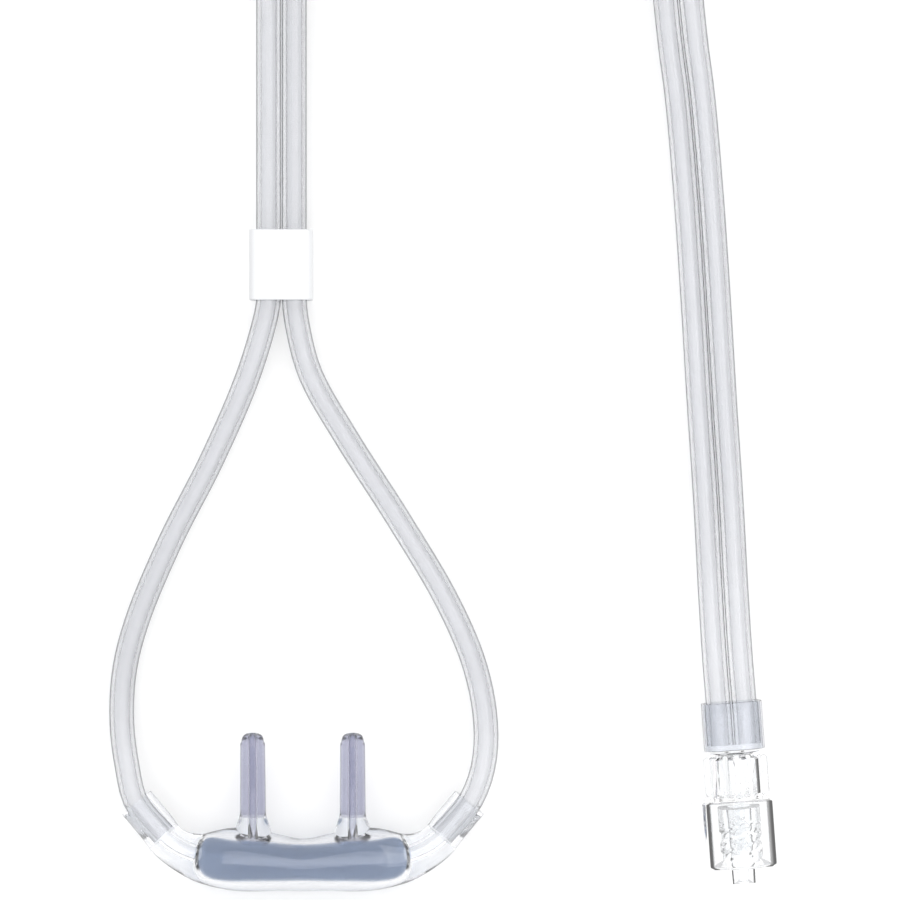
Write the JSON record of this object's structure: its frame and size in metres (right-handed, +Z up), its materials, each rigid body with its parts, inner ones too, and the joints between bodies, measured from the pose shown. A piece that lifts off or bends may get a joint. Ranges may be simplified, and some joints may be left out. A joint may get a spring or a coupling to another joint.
{
  "type": "carbon dioxide sampling nasal cannula",
  "caption": "Clear soft nasal piece with curved prongs on a paired sampling line, with a white sliding keeper, a tied coil and a clear male luer lock connector.",
  "frame": {"origin": "on the floor under the middle of the nasal piece, midway between the two prongs", "axes": "+Z up from the floor, +Y the way the prongs point, +X along the nasal piece from one tube socket to the other"},
  "size_m": [0.087, 0.1904, 0.0146],
  "materials": {
    "clear_soft_moulding": "clear soft PVC with a faint lavender blue tint, injection moulded, glossy",
    "clear_tubing": "clear extruded PVC tubing, smooth and glossy",
    "clear_sleeve": "clear soft PVC sleeve, smooth and glossy",
    "clear_hard_moulding": "clear hard polycarbonate, injection moulded, glossy",
    "white_slider": "opaque white moulded plastic, satin gloss",
    "white_tie": "opaque white soft band, matte"
  },
  "bodies": {
    "cannula": {"nasal_piece": "clear_soft_moulding", "left_loop_tube": "clear_tubing", "right_loop_tube": "clear_tubing", "left_line_tube": "clear_tubing", "right_line_tube": "clear_tubing", "tube_coil": "clear_tubing", "coil_tie_1": "white_tie", "coil_tie_2": "white_tie", "connector_sleeve": "clear_sleeve", "luer_connector": "clear_hard_moulding"},
    "slider": {"slider": "white_slider"}
  },
  "joints": [
    {"name": "slider_slide", "type": "slide", "parent": "cannula", "child": "slider", "axis": [0, 1, 0], "range_m": [0, 0.02]}
  ]
}
